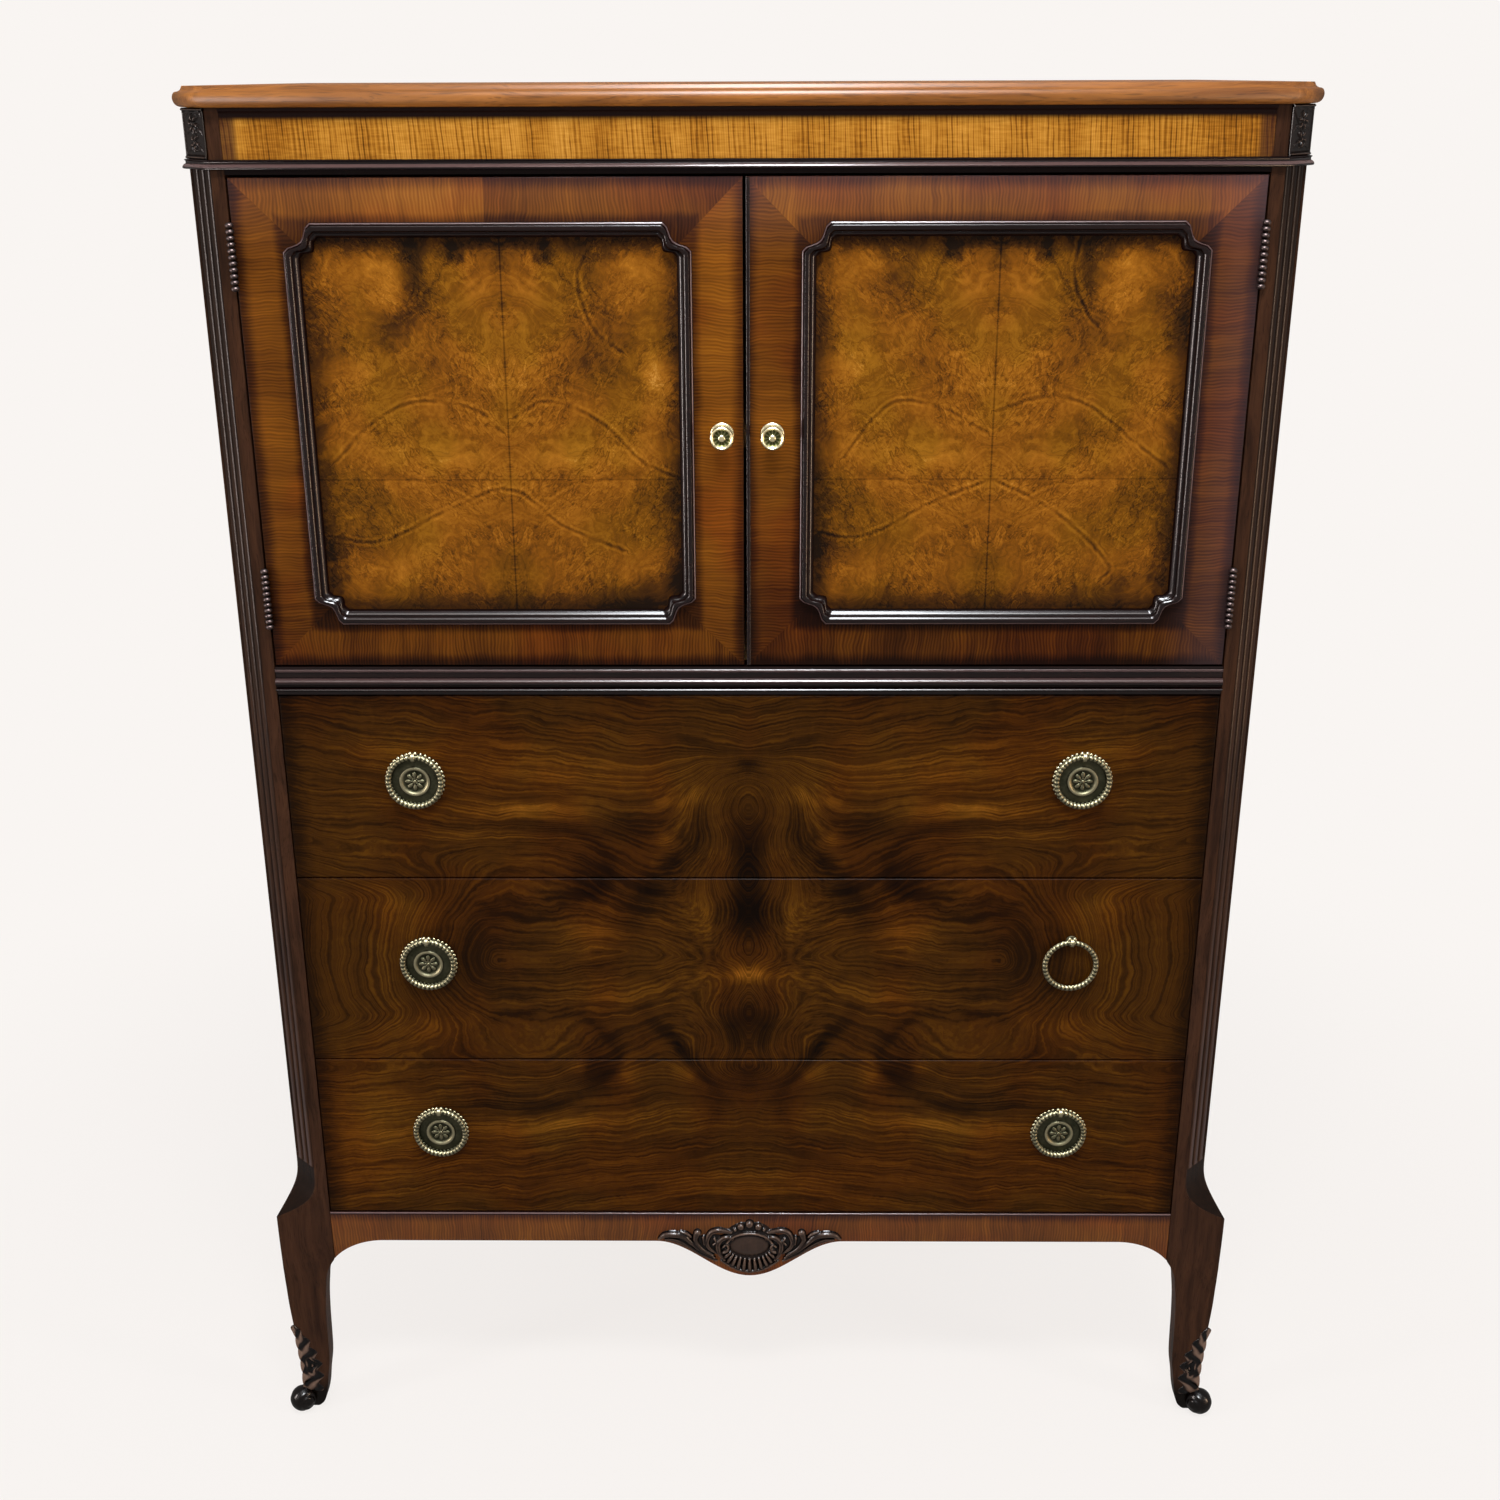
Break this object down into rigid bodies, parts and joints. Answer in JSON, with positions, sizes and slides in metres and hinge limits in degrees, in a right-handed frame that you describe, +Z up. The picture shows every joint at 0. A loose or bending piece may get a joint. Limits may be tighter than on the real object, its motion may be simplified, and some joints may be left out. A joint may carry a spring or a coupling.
{
  "type": "dresser",
  "caption": "Tall walnut chest on cabriole legs: a cupboard with hinged doors and a shelf above drawers that slide out, with ring pulls and canted, reeded corners.",
  "frame": {"origin": "on the floor under the middle of the piece's overall box", "axes": "+X to the right as seen from the front, +Y towards the back, +Z up"},
  "size_m": [0.969, 0.4814, 1.311],
  "materials": {
    "top_walnut": "polished red-brown walnut",
    "frieze_fiddleback": "polished golden fiddleback veneer",
    "door_crossband": "polished crossbanded walnut veneer",
    "burl_walnut": "polished golden burl veneer",
    "crotch_walnut": "polished dark figured walnut veneer",
    "dark_moulding": "polished near-black moulding",
    "post_walnut": "polished dark walnut",
    "side_walnut": "polished walnut",
    "inner_wood": "plain unpolished wood",
    "carved_walnut": "carved dark walnut",
    "polished_brass": "polished",
    "aged_brass": "dark antique brass",
    "hinge_bronze": "dark bronzed brass"
  },
  "bodies": {
    "carcass": {"top_board": "top_walnut", "frieze_rail": "frieze_fiddleback", "frieze_moulding": "dark_moulding", "front_leg_left": "post_walnut", "front_leg_right": "post_walnut", "rear_leg_left": "post_walnut", "rear_leg_right": "post_walnut", "side_panel_left": "side_walnut", "side_panel_right": "side_walnut", "back_panel": "inner_wood", "waist_board": "dark_moulding", "shelf": "inner_wood", "dust_board_upper": "inner_wood", "dust_board_lower": "inner_wood", "bottom_board": "inner_wood", "apron": "door_crossband", "apron_carving": "carved_walnut", "post_leaf_left_lower": "hinge_bronze", "post_leaf_left_upper": "hinge_bronze", "post_leaf_right_lower": "hinge_bronze", "post_leaf_right_upper": "hinge_bronze"},
    "door_left": {"door_frame_left": "door_crossband", "door_panel_left": "burl_walnut", "door_moulding_left": "dark_moulding", "knob_left": "polished_brass", "door_leaf_left_lower": "hinge_bronze", "door_leaf_left_upper": "hinge_bronze"},
    "door_right": {"door_frame_right": "door_crossband", "door_panel_right": "burl_walnut", "door_moulding_right": "dark_moulding", "knob_right": "polished_brass", "door_leaf_right_lower": "hinge_bronze", "door_leaf_right_upper": "hinge_bronze"},
    "drawer_bottom": {"drawer_1_front": "crotch_walnut", "drawer_1_side_left": "inner_wood", "drawer_1_side_right": "inner_wood", "drawer_1_back": "inner_wood", "drawer_1_bottom": "inner_wood", "pull_plate_drawer_1_left": "aged_brass", "pull_plate_drawer_1_right": "aged_brass"},
    "drawer_middle": {"drawer_2_front": "crotch_walnut", "drawer_2_side_left": "inner_wood", "drawer_2_side_right": "inner_wood", "drawer_2_back": "inner_wood", "drawer_2_bottom": "inner_wood", "pull_plate_drawer_2_left": "aged_brass", "pull_post_drawer_2_right": "aged_brass"},
    "drawer_top": {"drawer_3_front": "crotch_walnut", "drawer_3_side_left": "inner_wood", "drawer_3_side_right": "inner_wood", "drawer_3_back": "inner_wood", "drawer_3_bottom": "inner_wood", "pull_plate_drawer_3_left": "aged_brass", "pull_plate_drawer_3_right": "aged_brass"},
    "ring_1_left": {"ring_drawer_1_left": "aged_brass"},
    "ring_1_right": {"ring_drawer_1_right": "aged_brass"},
    "ring_2_left": {"ring_drawer_2_left": "aged_brass"},
    "ring_2_right": {"ring_drawer_2_right": "aged_brass"},
    "ring_3_left": {"ring_drawer_3_left": "aged_brass"},
    "ring_3_right": {"ring_drawer_3_right": "aged_brass"}
  },
  "joints": [
    {"name": "door_left_hinge", "type": "hinge", "parent": "carcass", "child": "door_left", "pos_m": [-0.42535, -0.22115, 1.0314], "axis": [0, 0, -1], "range_deg": [0, 110]},
    {"name": "door_right_hinge", "type": "hinge", "parent": "carcass", "child": "door_right", "pos_m": [0.42535, -0.22115, 1.0314], "axis": [0, 0, 1], "range_deg": [0, 110]},
    {"name": "drawer_bottom_slide", "type": "slide", "parent": "carcass", "child": "drawer_bottom", "axis": [0, -1, 0], "range_m": [0, 0.3]},
    {"name": "drawer_middle_slide", "type": "slide", "parent": "carcass", "child": "drawer_middle", "axis": [0, -1, 0], "range_m": [0, 0.3]},
    {"name": "drawer_top_slide", "type": "slide", "parent": "carcass", "child": "drawer_top", "axis": [0, -1, 0], "range_m": [0, 0.3]},
    {"name": "ring_1_left_hinge", "type": "hinge", "parent": "drawer_bottom", "child": "ring_1_left", "pos_m": [-0.3065, -0.22195, 0.35975], "axis": [-1, 0, 0], "range_deg": [0, 85]},
    {"name": "ring_1_right_hinge", "type": "hinge", "parent": "drawer_bottom", "child": "ring_1_right", "pos_m": [0.3065, -0.22195, 0.35975], "axis": [-1, 0, 0], "range_deg": [0, 85]},
    {"name": "ring_2_left_hinge", "type": "hinge", "parent": "drawer_middle", "child": "ring_2_left", "pos_m": [-0.3065, -0.22195, 0.547], "axis": [-1, 0, 0], "range_deg": [0, 85]},
    {"name": "ring_2_right_hinge", "type": "hinge", "parent": "drawer_middle", "child": "ring_2_right", "pos_m": [0.3065, -0.22195, 0.547], "axis": [-1, 0, 0], "range_deg": [0, 85]},
    {"name": "ring_3_left_hinge", "type": "hinge", "parent": "drawer_top", "child": "ring_3_left", "pos_m": [-0.3065, -0.22195, 0.73515], "axis": [-1, 0, 0], "range_deg": [0, 85]},
    {"name": "ring_3_right_hinge", "type": "hinge", "parent": "drawer_top", "child": "ring_3_right", "pos_m": [0.3065, -0.22195, 0.73515], "axis": [-1, 0, 0], "range_deg": [0, 85]}
  ]
}
